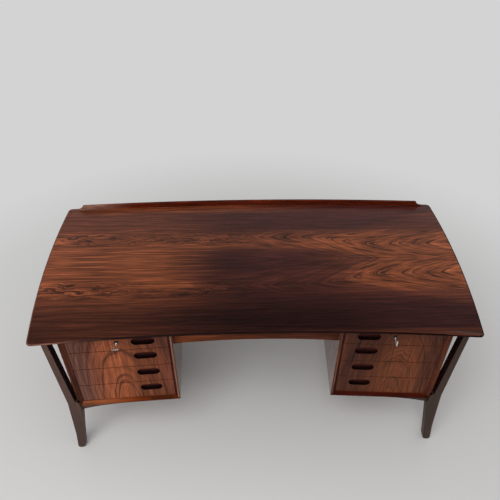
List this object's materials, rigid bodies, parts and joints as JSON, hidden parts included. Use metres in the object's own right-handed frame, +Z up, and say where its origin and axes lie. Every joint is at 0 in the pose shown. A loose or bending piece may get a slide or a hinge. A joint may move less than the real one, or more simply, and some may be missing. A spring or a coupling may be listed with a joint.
{
  "type": "executive desk",
  "caption": "Free-standing rosewood executive desk with a curved top, back gallery, twin drawer pedestals, locking top drawers, rear book niches and forked legs.",
  "frame": {"origin": "on the floor, under the middle of the desk's box in plan", "axes": "+X to the sitter's right, +Y away from the sitter, +Z up; drawers open towards -Y"},
  "size_m": [1.8802, 0.9582, 0.774],
  "materials": {
    "veneer": "satin oiled rosewood veneer",
    "solid": "satin oiled solid rosewood",
    "drawer_wood": "satin lacquered pale hardwood",
    "nickel": "worn nickel plate",
    "brass": "dull brass"
  },
  "bodies": {
    "carcass": {"top_panel": "veneer", "back_gallery": "solid", "top_edge_lipping": "solid", "front_apron": "veneer", "modesty_panel": "veneer", "shelf_cleats": "drawer_wood", "left_outer_side": "veneer", "left_inner_side": "veneer", "left_bottom": "veneer", "left_subtop": "veneer", "left_partition": "veneer", "left_niche_shelf": "veneer", "left_drawer_runners": "drawer_wood", "left_leg_rails": "solid", "left_front_leg": "solid", "left_rear_leg": "solid", "right_outer_side": "veneer", "right_inner_side": "veneer", "right_bottom": "veneer", "right_subtop": "veneer", "right_partition": "veneer", "right_niche_shelf": "veneer", "right_drawer_runners": "drawer_wood", "right_leg_rails": "solid", "right_front_leg": "solid", "right_rear_leg": "solid"},
    "left_drawer_1": {"left_drawer_1_front": "veneer", "left_drawer_1_pull": "solid", "left_drawer_1_box": "drawer_wood", "left_lock_case": "brass"},
    "left_drawer_2": {"left_drawer_2_front": "veneer", "left_drawer_2_pull": "solid", "left_drawer_2_box": "drawer_wood"},
    "left_drawer_3": {"left_drawer_3_front": "veneer", "left_drawer_3_pull": "solid", "left_drawer_3_box": "drawer_wood"},
    "left_drawer_4": {"left_drawer_4_front": "veneer", "left_drawer_4_pull": "solid", "left_drawer_4_box": "drawer_wood"},
    "left_key": {"left_lock_plug": "nickel", "left_lock_key": "nickel"},
    "left_bolt": {"left_lock_bolt": "nickel"},
    "right_drawer_1": {"right_drawer_1_front": "veneer", "right_drawer_1_pull": "solid", "right_drawer_1_box": "drawer_wood", "right_lock_case": "brass"},
    "right_drawer_2": {"right_drawer_2_front": "veneer", "right_drawer_2_pull": "solid", "right_drawer_2_box": "drawer_wood"},
    "right_drawer_3": {"right_drawer_3_front": "veneer", "right_drawer_3_pull": "solid", "right_drawer_3_box": "drawer_wood"},
    "right_drawer_4": {"right_drawer_4_front": "veneer", "right_drawer_4_pull": "solid", "right_drawer_4_box": "drawer_wood"},
    "right_key": {"right_lock_plug": "nickel", "right_lock_key": "nickel"},
    "right_bolt": {"right_lock_bolt": "nickel"}
  },
  "joints": [
    {"name": "left_drawer_1_slide", "type": "slide", "parent": "carcass", "child": "left_drawer_1", "axis": [0.0645, -0.9979, 0], "range_m": [0, 0.34]},
    {"name": "left_drawer_2_slide", "type": "slide", "parent": "carcass", "child": "left_drawer_2", "axis": [0.0645, -0.9979, 0], "range_m": [0, 0.34]},
    {"name": "left_drawer_3_slide", "type": "slide", "parent": "carcass", "child": "left_drawer_3", "axis": [0.0645, -0.9979, 0], "range_m": [0, 0.34]},
    {"name": "left_drawer_4_slide", "type": "slide", "parent": "carcass", "child": "left_drawer_4", "axis": [0.0645, -0.9979, 0], "range_m": [0, 0.34]},
    {"name": "left_key_turn", "type": "hinge", "parent": "left_drawer_1", "child": "left_key", "pos_m": [-0.54677, -0.40451, 0.67288], "axis": [0.0645, -0.9979, 0], "range_deg": [-90, 90]},
    {"name": "left_bolt_slide", "type": "slide", "parent": "left_drawer_1", "child": "left_bolt", "axis": [0, 0, 1], "range_m": [-0.005, 0.005]},
    {"name": "right_drawer_1_slide", "type": "slide", "parent": "carcass", "child": "right_drawer_1", "axis": [-0.0645, -0.9979, 0], "range_m": [0, 0.34]},
    {"name": "right_drawer_2_slide", "type": "slide", "parent": "carcass", "child": "right_drawer_2", "axis": [-0.0645, -0.9979, 0], "range_m": [0, 0.34]},
    {"name": "right_drawer_3_slide", "type": "slide", "parent": "carcass", "child": "right_drawer_3", "axis": [-0.0645, -0.9979, 0], "range_m": [0, 0.34]},
    {"name": "right_drawer_4_slide", "type": "slide", "parent": "carcass", "child": "right_drawer_4", "axis": [-0.0645, -0.9979, 0], "range_m": [0, 0.34]},
    {"name": "right_key_turn", "type": "hinge", "parent": "right_drawer_1", "child": "right_key", "pos_m": [0.54677, -0.40451, 0.67288], "axis": [-0.0645, -0.9979, 0], "range_deg": [0, 180]},
    {"name": "right_bolt_slide", "type": "slide", "parent": "right_drawer_1", "child": "right_bolt", "axis": [0, 0, 1], "range_m": [0, 0.01]}
  ],
  "couplings": [
    {"joint": "left_bolt_slide", "follows": "left_key_turn", "m_per_rad": 0.0031831},
    {"joint": "right_bolt_slide", "follows": "right_key_turn", "m_per_rad": 0.0031831}
  ]
}
